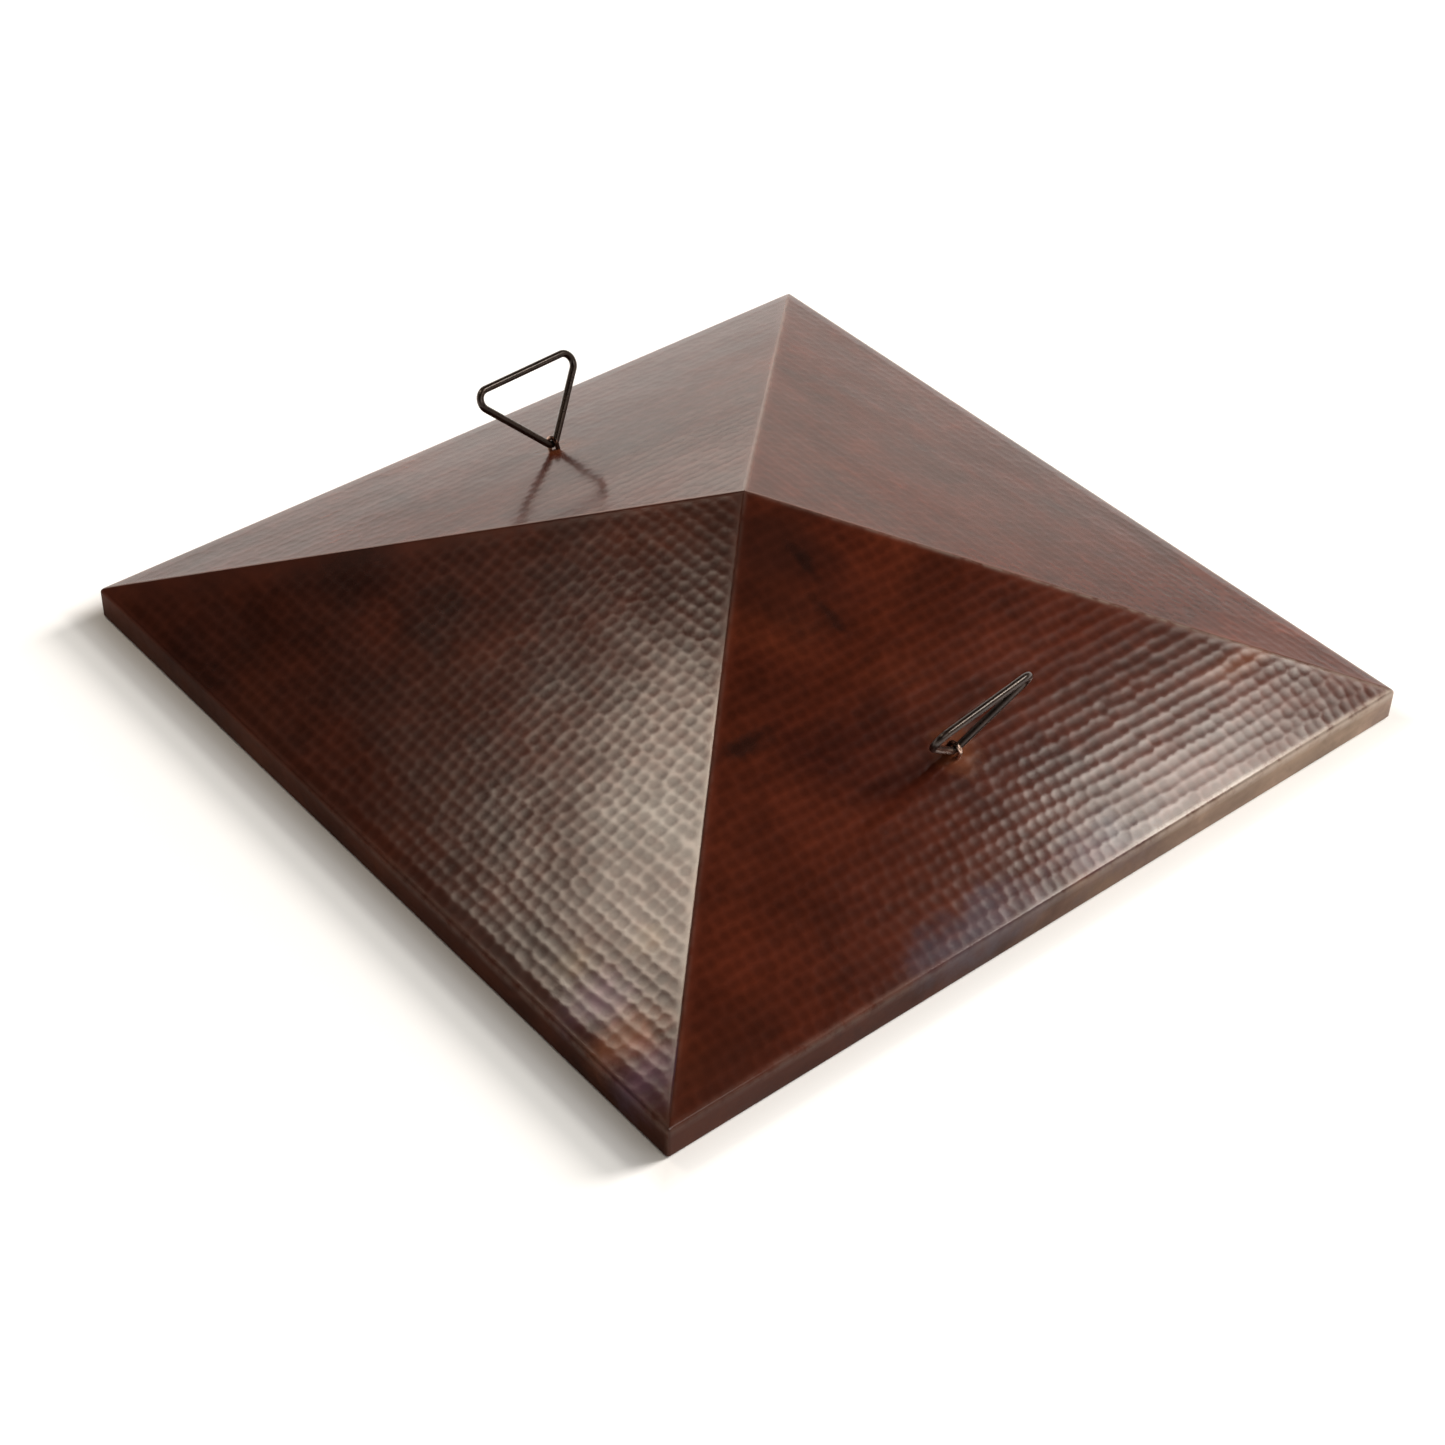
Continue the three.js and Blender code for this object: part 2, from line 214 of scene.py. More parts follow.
def section_stations(step):
    """The sheet's outside from apex to hem edge, as a list of (place, normal, distance up the panel).

    Places and normals are (out, up) pairs. Off the panel the distance is OFF_PANEL.
    """
    lean = SLOPE + ROLL_ANGLE
    roll = ROLL_LENGTH / ROLL_ANGLE
    down = np.array([math.cos(SLOPE), -math.sin(SLOPE)])
    fold_centre = np.array([HALF - FOLD, 0.0])
    roll_centre = fold_centre - spoke(lean) * (roll - FOLD)
    roll_start = roll_centre + spoke(SLOPE) * roll
    length = roll_start[0] / math.cos(SLOPE)
    lift = np.array([0.0, APEX - length * math.sin(SLOPE) - roll_start[1]])
    fold_centre = fold_centre + lift
    roll_centre = roll_centre + lift
    stations = []
    count = round((length - APEX_GAP) / step)
    for k in range(count + 1):
        gone = APEX_GAP + (length - APEX_GAP) * k / count
        place = np.array([0.0, APEX]) + down * gone
        stations.append((place, spoke(SLOPE), length - gone + ROLL_LENGTH))
    count = round(ROLL_LENGTH / step)
    for k in range(1, count + 1):
        normal = spoke(SLOPE + ROLL_ANGLE * k / count)
        stations.append((roll_centre + normal * roll, normal, ROLL_LENGTH * (1 - k / count)))
    for k in range(1, BEND_STEPS + 1):
        normal = spoke(lean + (math.pi / 2 - lean) * k / BEND_STEPS)
        stations.append((fold_centre + normal * FOLD, normal, OFF_PANEL))
    outside = BEND + SHEET
    for k in range(1, 4):
        height = fold_centre[1] + (outside - fold_centre[1]) * k / 4
        stations.append((np.array([HALF, height]), np.array([1.0, 0.0]), OFF_PANEL))
    hem_centre = np.array([HALF - outside, outside])
    for k in range(BEND_STEPS + 1):
        normal = spoke(math.pi / 2 * (1 + k / BEND_STEPS))
        stations.append((hem_centre + normal * outside, normal, OFF_PANEL))
    for k in (1, 2):
        out = HALF - outside - (HEM - outside) * k / 2
        stations.append((np.array([out, 0.0]), np.array([0.0, -1.0]), OFF_PANEL))
    return stations


def outer_row(place, normal):
    """Places along one row of the outer face, and how far each sinks to round off the hip or corner."""
    out = place[0]
    slant = math.sqrt(1 + normal[1] ** 2)
    half_angle = math.atan(normal[0] / slant)
    upright = min(1, max(0, (normal[0] - 0.4) / 0.5))  # 0 on the slope and 1 on the skirt
    radius = HIP_ROUND + (CORNER_ROUND - HIP_ROUND) * upright
    radius = min(radius, 0.5 * out / max(math.tan(half_angle), 1e-3) / slant + 1e-6)
    thetas = half_angle * EDGE_ANGLES
    inward = radius * (math.tan(half_angle) - np.sin(thetas)) * slant
    sink = radius * (1 - np.cos(thetas))
    reach = out - inward - SEAM
    side = max(0, math.floor(reach[-1] / FINE - 0.5))
    middle = FINE * np.arange(-side, side + 1)
    along = np.concatenate([-reach, middle, reach[::-1]])
    drop = np.concatenate([sink, np.zeros(len(middle)), sink[::-1]])
    return along, drop


def outer_face():
    """The outer face before hammering: its points, rows of their numbers, and values for each point.

    The values are a dictionary of arrays: normal, up (up the panel), along, out and height (of the row).
    """
    rows = []
    table = []
    count = 0
    for place, normal, up in section_stations(FINE):
        along, drop = outer_row(place, normal)
        rows.append(list(range(count, count + len(along))))
        count += len(along)
        for y, sunk in zip(along, drop):
            point = (place[0] - sunk * normal[0], y, place[1] - sunk * normal[1])
            table.append((*point, normal[0], 0.0, normal[1], up, y, place[0], place[1]))
    table = np.array(table)
    values = {"normal": table[:, 3:6]}
    values.update(zip(("up", "along", "out", "height"), table[:, 6:].T))
    return table[:, :3], rows, values


def hip_distance(values):
    """How far each point lies from the nearer hip."""
    return np.clip(values["out"] - np.abs(values["along"]), 0, 1) * HIP_SLANT


def edge_wear_and_highlight(values):
    """1 along the fold, a little less along the hips, and 0 away from both."""
    to_hip = hip_distance(values)
    to_fold = np.where(values["up"] >= 0, values["up"], np.clip(FOLD_LINE - values["height"], 0, 1))
    return np.maximum(np.exp(-((to_fold / EDGE_WEAR_AND_HIGHLIGHT) ** 2)), 0.7 * np.exp(-((to_hip / EDGE_WEAR_AND_HIGHLIGHT) ** 2)))


def hammer(points, values, rng, tone):
    """Sinks the dents into the points of the panel. Returns how deep in a dent each lies, from 0 to 1."""
    panel = values["up"] >= 0
    up = values["up"][panel]
    along = values["along"][panel]
    to_hip = hip_distance(values)[panel]
    low = np.clip((LOW_GONE - up) / (LOW_GONE - LOW_FULL), 0, 1)
    smooth_edge = HIP_SMOOTH + (along < 0) * low * tone["smooth_hip"]
    fade = np.clip(to_hip / smooth_edge, 0, 1) * np.clip(up / FOLD_SMOOTH, 0, 1)
    fade = fade * fade * (3 - 2 * fade)
    sink = dent_heights(along, up, rng, tone["dents"], tone["drift"]) * fade
    hollow = np.zeros(len(points))
    hollow[panel] = np.clip(-sink / (tone["dents"] * DENT_DEPTH), 0, 1)
    inside = np.clip(to_hip / WAVE_HIP, 0, 1) * np.clip(up / WAVE_FOLD, 0, 1)
    sink += (smooth_noise(np.stack([along, up], 1), rng, 0.20) - 1) * WAVE_DEPTH * inside
    points[panel] += values["normal"][panel] * sink[:, None]
    return hollow


def travelled(points, numbers):
    """How far along a chain of points each one lies, from 0 to 1."""
    steps = np.linalg.norm(np.diff(points[numbers], axis=0), axis=1)
    total = np.concatenate([[0], np.cumsum(steps)])
    return total / total[-1]


def make_gore(name, quarter, material, tone):
    """One face of the cover with its skirt and hem, hammered outside and plain inside, as a closed sheet."""
    points, rows, values = outer_face()
    wear_and_highlight = edge_wear_and_highlight(values)
    hollow = hammer(points, values, np.random.default_rng(40 + quarter), tone)

    faces = []
    edge = len(EDGE_ANGLES) - 1  # steps that round off each end of a row
    for a, b in zip(rows, rows[1:]):
        for end in (range(edge), range(-edge - 1, -1)):
            for i in end:
                faces.append((a[i], b[i], b[i + 1], a[i + 1]))
        a, b = a[edge:-edge], b[edge:-edge]
        zip_rows(a, values["along"][a], b, values["along"][b], faces)

    inner_points, inner_rows = inner_face()
    inner_rows = [[len(points) + i for i in row] for row in inner_rows]
    everything = np.concatenate([points, inner_points])
    for a, b in zip(inner_rows, inner_rows[1:]):
        zip_rows(a, everything[a, 1], b, everything[b, 1], faces, flip=True)

    for end, flip in ((0, True), (-1, False)):
        outside = [row[end] for row in rows]
        inside = [row[end] for row in inner_rows]
        zip_rows(outside, travelled(everything, outside), inside, travelled(everything, inside), faces, flip)
    for end, flip in ((0, False), (-1, True)):
        outside, inside = rows[end], inner_rows[end]
        zip_rows(outside, travelled(everything, outside), inside, travelled(everything, inside), faces, flip)

    turn = quarter * math.pi / 2
    spin = np.array([[math.cos(turn), math.sin(turn), 0], [-math.sin(turn), math.cos(turn), 0], [0, 0, 1]])
    made = new_object(name, everything @ spin, [tuple(reversed(f)) for f in faces], material)
    plain = np.zeros(len(inner_points))
    add_values(made, "hollow", np.concatenate([hollow, plain]))
    add_values(made, "wear_and_highlight", np.concatenate([wear_and_highlight, plain]))
    return made


def inner_face():
    """The underside of one gore, at the sheet's thickness inside the outer face."""
    points, rows = [], []
    count = 0  # steps in a row, which stays the same from the fold to the hem
    for place, normal, up in section_stations(COARSE):
        inside = place - normal * SHEET
        out = max(inside[0], 0.2 * MM)
        reach = out - SEAM
        if up >= 0:
            count = max(1, round(2 * reach / COARSE))
        rows.append(list(range(len(points), len(points) + count + 1)))
        points += [(out, y, inside[1]) for y in np.linspace(-reach, reach, count + 1)]
    return np.array(points), rows


# ---- Rods ----

def sweep(points, directions, radius_at, closed=False):
    """A rod through points in the XY plane. radius_at(k, i) is the radius at point k on side i."""
    across = np.array([0.0, 0.0, 1.0])
    vertices, faces = [], []
    for k, (point, direction) in enumerate(zip(points, directions)):
        side = np.cross(across, direction)
        for i in range(ROD_SIDES):
            angle = 2 * math.pi * i / ROD_SIDES
            vertices.append(point + radius_at(k, i) * (math.cos(angle) * side + math.sin(angle) * across))
    last = len(points) if closed else len(points) - 1
    for k in range(last):
        a, b = k * ROD_SIDES, ((k + 1) % len(points)) * ROD_SIDES
        for i in range(ROD_SIDES):
            j = (i + 1) % ROD_SIDES
            faces.append((a + i, a + j, b + j, b + i))
    if not closed:
        faces.append(tuple(range(ROD_SIDES))[::-1])
        faces.append(tuple(range(last * ROD_SIDES, (last + 1) * ROD_SIDES)))
    return vertices, faces


def arc(centre, radius, start, end, steps):
    """Points round part of a circle in the XY plane, and the direction of travel at each."""
    turn = math.copysign(1, end - start)
    places, directions = [], []
    for k in range(steps + 1):
        angle = start + (end - start) * k / steps
        x, y = math.cos(angle), math.sin(angle)
        places.append(np.array([centre[0] + radius * x, centre[1] + radius * y, 0.0]))
        directions.append(np.array([-turn * y, turn * x, 0.0]))
    return places, directions


def straight(start, end, steps):
    """Points between two places, without the ends, and the direction of travel at each."""
    direction = (end - start) / np.linalg.norm(end - start)
    places = [start + (end - start) * k / steps for k in range(1, steps)]
    return places, [direction] * len(places)


def ring_path():
    """The ring's centre line in its own plane: vertex at the origin, bar towards +Y, right round."""
    half_angle = math.atan2(RING_WIDTH / 2, RING_HEIGHT)
    corner_angle = math.pi / 2 - half_angle
    bar = RING_HEIGHT - (VERTEX_BEND / math.sin(half_angle) - VERTEX_BEND)
    corner_x = RING_WIDTH / 2 - CORNER_BEND / math.tan(corner_angle / 2)
    right = arc((corner_x, bar - CORNER_BEND), CORNER_BEND, -half_angle, math.pi / 2, 18)
    left = arc((-corner_x, bar - CORNER_BEND), CORNER_BEND, math.pi / 2, math.pi + half_angle, 18)
    vertex = arc((0, VERTEX_BEND), VERTEX_BEND, math.pi + half_angle, 2 * math.pi - half_angle, 16)
    places, directions = [], []
    parts = [right, left, vertex]
    for k, part in enumerate(parts):
        places += part[0]
        directions += part[1]
        between = straight(part[0][-1], parts[(k + 1) % 3][0][0], 10)
        places += between[0]
        directions += between[1]
    return places, directions


def handle_frames(face):
    """Where a handle sits: its seat on the sheet, and its ring as it stands at rest, as matrices."""
    joint = next(j for j in frame["joints"] if j["name"] == face + "_ring_pivot")
    across = Vector(joint["axis"]).normalized()
    outward = -1 if face == "front" else 1
    normal = Vector((0, outward * math.sin(SLOPE), math.cos(SLOPE)))
    down = normal.cross(across).normalized()
    pivot = Vector(joint["pos_m"])
    seat = Matrix((across, down, normal)).transposed().to_4x4()
    seat.translation = pivot - normal * PIVOT_HEIGHT
    rest = math.radians(-joint["range_deg"][0])
    ring = Matrix((across, down, normal)).transposed().to_4x4() @ Matrix.Rotation(rest, 4, "X")
    ring.translation = pivot
    return seat, ring


def make_ring(face, material):
    places, directions = ring_path()
    rng = np.random.default_rng(7 if face == "front" else 8)
    wobble = rng.normal(0, RING_WOBBLE, (len(places), ROD_SIDES))
    for _ in range(3):
        wobble = (np.roll(wobble, 1, 0) + np.roll(wobble, -1, 0) + wobble) / 3
    vertices, faces = sweep(places, directions, lambda k, i: RING_ROD / 2 + wobble[k, i], closed=True)
    made = new_object(face + "_ring_rod", vertices, faces, material, 60)
    _, rest = handle_frames(face)
    made.data.transform(rest)
    return made


def make_staple(face, material):
    """The bent wire in its own plane, x up the slope and y away from the sheet, with threaded ends."""
    radius = LEG_SPACING / 2
    wire = STAPLE_WIRE / 2
    rise = []
    y = LEG_END
    while y < THREAD_TOP:
        rise.append(y)
        y += THREAD_PITCH / 8
    rise += list(np.linspace(THREAD_TOP, PIVOT_HEIGHT, 8))[:-1]
    up = [np.array([radius, h, 0.0]) for h in rise]
    bend = arc((0, PIVOT_HEIGHT), radius, 0, math.pi, 24)
    down = [np.array([-radius, h, 0.0]) for h in reversed(rise)]
    places = up + bend[0] + down
    directions = [np.array([0, 1.0, 0])] * len(up) + bend[1] + [np.array([0, -1.0, 0])] * len(down)

    def thread(k, i):
        height = places[k][1]
        if height > THREAD_TOP:
            return wire
        turn = (height / THREAD_PITCH - i / ROD_SIDES * (1 if places[k][0] > 0 else -1)) % 1.0
        groove = 1 - abs(2 * turn - 1)
        run_in = min(1.0, (THREAD_TOP - height) / THREAD_PITCH)
        tip = max(0.0, 1 - (height - LEG_END) / TIP_LENGTH) * TIP_DEPTH
        return wire - groove * THREAD_DEPTH * run_in - tip

    vertices, faces = sweep(places, directions, thread)
    made = new_object(face + "_staple_wire", vertices, faces, material, 40)
    polish = [min(1.0, max(0.0, (1.5 * MM - v[0]) / (4 * MM))) for v in vertices]
    add_values(made, "polish", polish)  # 1 on the lower leg and 0 on the upper
    seat, _ = handle_frames(face)
    stand = Matrix(((0, 0, 1, 0), (-1, 0, 0, 0), (0, 1, 0, 0), (0, 0, 0, 1)))
    made.data.transform(seat @ stand)
    return made


# ---- Materials ----

ROUND = (1, 1, 1)
SPOT_SOFTNESS = 0.8
DARK_BROWN = (0.040, 0.0070, 0.0036)
BROWN = (0.068, 0.0125, 0.0052)
LIGHT_BROWN = (0.095, 0.019, 0.007)
WORN_AND_HIGHLIT = (0.40, 0.33, 0.28)
PATINA_METALLIC = 0.25
FINE_RELIEF = 0.02 * MM
BROAD_RELIEF = 0.08 * MM
METAL_RELIEF = 0.03 * MM


class Shader:
    """The nodes of a material or a world, added one at a time."""

    def __init__(self, tree, coordinate):
        self.tree = tree
        self.place = self.node("TexCoord").outputs[coordinate]

    def node(self, kind, **settings):
        made = self.tree.nodes.new("ShaderNode" + kind)
        for name, value in settings.items():
            setattr(made, name, value)
        return made

    def link(self, source, target):
        self.tree.links.new(source, target)

    def moved(self, offset, stretch):
        """The place in the pattern, stretched and then moved."""
        mapping = self.node("Mapping")
        mapping.inputs["Location"].default_value = offset
        mapping.inputs["Scale"].default_value = stretch
        self.link(self.place, mapping.inputs["Vector"])
        return mapping.outputs["Vector"]

    def split(self, vector):
        """The three parts of a vector, as outputs named X, Y and Z."""
        made = self.node("SeparateXYZ")
        self.link(vector, made.inputs[0])
        return made.outputs

    def length(self, vector):
        made = self.node("VectorMath", operation="LENGTH")
        self.link(vector, made.inputs[0])
        return made.outputs["Value"]

    def attribute(self, name):
        return self.node("Attribute", attribute_name=name).outputs["Fac"]

    def noise(self, scale, detail=4.0, roughness=0.55, distortion=0.0, offset=(0, 0, 0), stretch=ROUND):
        made = self.node("TexNoise")
        made.inputs["Scale"].default_value = scale
        made.inputs["Detail"].default_value = detail
        made.inputs["Roughness"].default_value = roughness
        made.inputs["Distortion"].default_value = distortion
        self.link(self.moved(offset, stretch), made.inputs["Vector"])
        return made.outputs["Fac"]

    def ramp(self, value, stops):
        """Smooth grey or colour steps: stops are (position, grey) or (position, (r, g, b))."""
        made = self.node("ValToRGB")
        elements = made.color_ramp.elements
        made.color_ramp.interpolation = "EASE"
        while len(elements) < len(stops):
            elements.new(0.5)
        for element, (position, shade) in zip(elements, stops):
            element.position = position
            element.color = (*shade, 1) if isinstance(shade, tuple) else (shade, shade, shade, 1)
        self.link(value, made.inputs["Fac"])
        return made.outputs["Color"]

    def mix(self, amount, first, second):
        made = self.node("Mix", data_type="RGBA")
        self.fill(made.inputs[0], amount)
        self.fill(made.inputs[6], first)
        self.fill(made.inputs[7], second)
        return made.outputs[2]

    def times(self, first, second):
        """One colour multiplied by another."""
        made = self.node("Mix", data_type="RGBA", blend_type="MULTIPLY")
        made.inputs[0].default_value = 1.0
        self.fill(made.inputs[6], first)
        self.fill(made.inputs[7], second)
        return made.outputs[2]

    def fill(self, socket, value):
        """Puts a value, a colour or another node's output on a socket."""
        if isinstance(value, bpy.types.NodeSocket):
            self.link(value, socket)
        elif isinstance(value, tuple):
            socket.default_value = (*value, 1)
        elif socket.type == "RGBA":
            socket.default_value = (value, value, value, 1)
        else:
            socket.default_value = value

    def math(self, operation, first, second=0.0):
        made = self.node("Math", operation=operation)
        self.fill(made.inputs[0], first)
        self.fill(made.inputs[1], second)
        return made.outputs[0]

    def product(self, first, *others):
        for other in others:
            first = self.math("MULTIPLY", first, other)
        return first

    def map_range(self, value, low, high, to_low, to_high):
        """A smooth step from to_low to to_high as a value goes from low to high."""
        made = self.node("MapRange", interpolation_type="SMOOTHSTEP")
        for name, number in (("From Min", low), ("From Max", high), ("To Min", to_low), ("To Max", to_high)):
            made.inputs[name].default_value = number
        self.link(value, made.inputs["Value"])
        return made.outputs["Result"]

    def spot(self, centre, radius, stretch):
        """1 near a place on the object, falling to 0 at a distance, with a ragged edge."""
        from_centre = self.moved(tuple(-c * s for c, s in zip(centre, stretch)), stretch)
        noise = self.math("SUBTRACT", self.noise(0.7 / radius, 5, 0.65), 0.5)
        ragged = self.math("MULTIPLY", noise, radius * 2.6)
        away = self.math("ADD", self.length(from_centre), ragged)
        return self.map_range(away, radius * (1 - SPOT_SOFTNESS), radius * (1 + SPOT_SOFTNESS), 1.0, 0.0)

    def bump(self, height, distance, under=None):
        """The normal of a fine relief, on top of another relief if there is one under it."""
        made = self.node("Bump")
        made.inputs["Distance"].default_value = distance
        made.inputs["Strength"].default_value = 1.0
        self.link(height, made.inputs["Height"])
        if under is not None:
            self.link(under, made.inputs["Normal"])
        return made.outputs["Normal"]

    def worn_edges(self):
        """1 on outward edges and ridges, from the curvature of the surface."""
        geometry = self.node("NewGeometry")
        return self.ramp(geometry.outputs["Pointiness"], [(0.5, 0.0), (0.56, 1.0)])


def new_material(name):
    """A material, the shader that builds it and the inputs of its surface."""
    material = bpy.data.materials.new(name)
    material.use_nodes = True
    surface = material.node_tree.nodes["Principled BSDF"]
    return material, Shader(material.node_tree, "Object"), surface.inputs


def patina_colour(s, offset, tone, hollow):
    """Brown, mottled and streaked, and darker in the dents, then scaled by each face's painted light and
    shade.
    """
    broad = s.noise(5.0, 6, 0.6, 0.8, offset)
    brown = s.ramp(broad, [(0.25, DARK_BROWN), (0.5, BROWN), (0.75, LIGHT_BROWN)])
    mottled = s.ramp(s.noise(17.0, 5, 0.6, 0.4, offset), [(0.32, 0.7), (0.5, 0.95), (0.7, 1.2)])
    streaks = s.noise(26.0, 5, 0.6, 0.3, offset, tone["along"])
    colour = s.times(brown, mottled)
    colour = s.times(colour, s.ramp(hollow, [(0.0, 1.2), (0.5, 1.0), (1.0, 0.8)]))
    colour = s.times(colour, s.ramp(streaks, [(0.3, 0.82), (0.7, 1.15)]))
    # Painted light and shade: each face's colour is scaled by how brightly the lamps light it.
    return s.times(colour, tone["shade"])


def copper_patina(name, offset, tone):
    """Dark glossy brown patina on hammered copper with warm heat colours in places, and painted light and
    shade.
    """
    material, s, surface = new_material(name)
    fine = s.noise(95.0, 4, 0.6, 0.0, offset)
    hollow = s.attribute("hollow")
    facing_up = s.split(s.node("NewGeometry").outputs["True Normal"])["Z"]
    axis, near, far = tone["run"]
    run = s.map_range(s.split(s.place)[axis], near, far, 0.0, 1.0)

    colour = patina_colour(s, offset, tone, hollow)
    # Painted light on the skirt: its colour is scaled again, and on the front grows much paler towards the
    # lit far end.
    skirt = s.ramp(facing_up, [(0.35, 1.0), (0.75, 0.0)])
    colour = s.mix(skirt, colour, s.times(colour, s.mix(run, tone["skirt"], tone["skirt_far"])))
    # Edge wear and a painted highlight: the fold and hips turn pale tan, most towards the front's far end,
    # as a line of light.
    rubbed_and_highlit = s.product(s.attribute("wear_and_highlight"), s.ramp(fine, [(0.3, 0.25), (0.6, 1.0)]))
    rubbed_and_highlit = s.product(rubbed_and_highlit, s.map_range(run, 0.0, 1.0, *tone["wear_and_highlight"]))
    colour = s.mix(rubbed_and_highlit, colour, WORN_AND_HIGHLIT)
    metallic = PATINA_METALLIC
    for centre, radius, stretch, amount, hue, shine in tone["marks"]:
        there = s.product(s.spot(centre, radius, stretch), amount)
        colour = s.mix(there, colour, hue)
        metallic = s.mix(there, metallic, (shine, shine, shine))
    s.link(colour, surface["Base Color"])
    s.fill(surface["Metallic"], metallic)
    s.link(s.ramp(fine, [(0.3, 0.32), (0.7, 0.44)]), surface["Roughness"])
    surface["Specular IOR Level"].default_value = 0.0

    skirt_end, slope_start = tone["fold"]
    on_top = s.ramp(facing_up, [(skirt_end, tone["skirt_gloss"]), (slope_start, 1.0)])
    patches = s.noise(13.0, 4, 0.6, 0.0, (1, offset[0], 4), tone["along"])
    uneven = s.ramp(patches, [(0.3, tone["uneven"]), (0.6, 1.0)])
    towards_far = s.map_range(run, 0.0, 1.0, 1.0, tone["far_gloss"])
    in_hollows = s.map_range(hollow, 0.1, 0.9, 1.0, tone["dull_hollows"])
    s.link(s.product(on_top, uneven, towards_far, in_hollows), surface["Coat Weight"])
    surface["Coat Roughness"].default_value = tone["coat_roughness"]
    surface["Coat IOR"].default_value = 1.5

    relief = s.bump(s.noise(150.0, 2, 0.5), FINE_RELIEF)
    relief = s.bump(s.noise(60.0, 2, 0.5), BROAD_RELIEF, under=relief)
    s.link(relief, surface["Normal"])
    return material


def plain_metal(name, dark, light, scale, roughness, metallic=1.0, coat=0.0, dull=None):
    """Metal with broad tarnish, fine grain and uneven gloss, in the dull colour where it isn't polished."""
    material, s, surface = new_material(name)
    colour = s.ramp(s.noise(scale, 6, 0.6, 0.5), [(0.3, dark), (0.7, light)])
    if dull:
        colour = s.mix(s.attribute("polish"), dull, colour)
    brighter = tuple(min(1.0, c * 1.8 + 0.02) for c in light)
    s.link(s.mix(s.product(s.worn_edges(), 0.35), colour, brighter), surface["Base Color"])
    grain = s.noise(scale * 8, 4)
    s.link(s.ramp(grain, [(0.3, roughness * 0.8), (0.7, roughness * 1.25)]), surface["Roughness"])
    surface["Metallic"].default_value = metallic
    surface["Coat Weight"].default_value = coat
    surface["Coat Roughness"].default_value = 0.18
    s.link(s.bump(s.noise(scale * 20, 3), METAL_RELIEF), surface["Normal"])
    return material


# ---- The object ----

def seat_place(face, along=0.0, down=0.0):
    """A place on the sheet beside a handle's seat."""
    seat, _ = handle_frames(face)
    return tuple(seat @ Vector((along, down, 0)))


SOOT = (0.010, 0.004, 0.003)
COPPER = (0.26, 0.085, 0.034)
GOLD = (0.17, 0.11, 0.045)
PLUM = (0.08, 0.04, 0.07)
SLATE = (0.075, 0.085, 0.12)
BURNT = (0.026, 0.008, 0.005)
DULL_BROWN = (0.036, 0.010, 0.006)
RED_BROWN = (0.10, 0.018, 0.008)
ROWS_ALONG_X = (0.45, 1.3, 1.3)
ROWS_ALONG_Y = (1.3, 0.45, 1.3)
